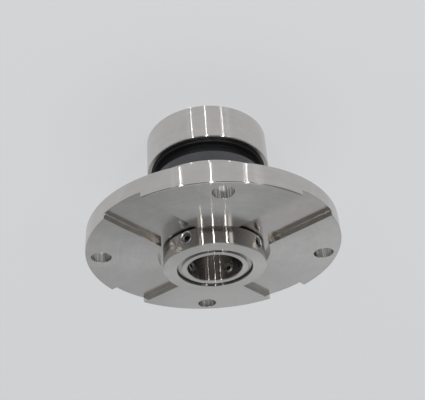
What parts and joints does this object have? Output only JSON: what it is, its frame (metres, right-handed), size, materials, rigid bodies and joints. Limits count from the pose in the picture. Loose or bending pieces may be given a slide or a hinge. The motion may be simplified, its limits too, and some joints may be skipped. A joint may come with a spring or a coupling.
{
  "type": "cartridge mechanical seal",
  "caption": "Shaft seal cartridge: a round gland plate with crossed milled channels round a sleeve, a drive collar on one side and a spring-loaded rotary head in a cup on the other.",
  "frame": {"origin": "on the shaft axis, in the plane of the gland plate's mounting face", "axes": "+Z along the shaft, from the rotary head on the pumped side towards the lock collar; +X and +Y through two bolt holes"},
  "size_m": [0.14, 0.14, 0.0861],
  "materials": {
    "gland_steel": "fine turned and polished stainless steel",
    "cup_steel": "polished stainless steel",
    "collar_steel": "polished stainless steel",
    "sleeve_steel": "fine turned stainless steel",
    "screw_steel": "plain stainless steel",
    "pin_steel": "ground steel",
    "spring_steel": "drawn steel",
    "silicon_carbide": null,
    "carbon": "satin black carbon graphite",
    "o_ring_rubber": "black fluorocarbon rubber",
    "bushing_plastic": "filled black polymer"
  },
  "bodies": {
    "gland": {"gland_plate": "gland_steel", "gland_o_ring": "o_ring_rubber", "stationary_seat": "silicon_carbide", "seat_o_ring": "o_ring_rubber", "seat_pin_1": "pin_steel", "seat_pin_2": "pin_steel", "throttle_bushing": "bushing_plastic", "bushing_snap_ring": "spring_steel"},
    "rotor": {"shaft_sleeve": "sleeve_steel", "shaft_o_ring": "o_ring_rubber", "lock_collar": "collar_steel", "collar_snap_ring": "spring_steel", "rotary_head_cup": "cup_steel", "cup_o_ring": "o_ring_rubber", "set_screw_1": "screw_steel", "set_screw_2": "screw_steel", "set_screw_3": "screw_steel", "set_screw_4": "screw_steel", "drive_pin_1": "pin_steel", "drive_pin_2": "pin_steel", "cup_dowel_1": "pin_steel", "cup_dowel_2": "pin_steel", "head_spring_1": "spring_steel", "head_spring_2": "spring_steel", "head_spring_3": "spring_steel", "head_spring_4": "spring_steel", "head_spring_5": "spring_steel", "head_spring_6": "spring_steel", "head_spring_7": "spring_steel", "head_spring_8": "spring_steel"},
    "face": {"rotary_face_ring": "carbon", "face_o_ring": "o_ring_rubber", "thrust_disc": "spring_steel"}
  },
  "joints": [
    {"name": "shaft_spin", "type": "hinge", "parent": "gland", "child": "rotor", "pos_m": [0, 0, 0], "axis": [0, 0, 1], "continuous": true},
    {"name": "face_float", "type": "slide", "parent": "rotor", "child": "face", "axis": [0, 0, 1], "range_m": [-0.0025, 0], "stiffness_N_per_m": 6000, "springref_m": 0.003, "deforming": ["head_spring_1", "head_spring_2", "head_spring_3", "head_spring_4", "head_spring_5", "head_spring_6", "head_spring_7", "head_spring_8"]}
  ]
}
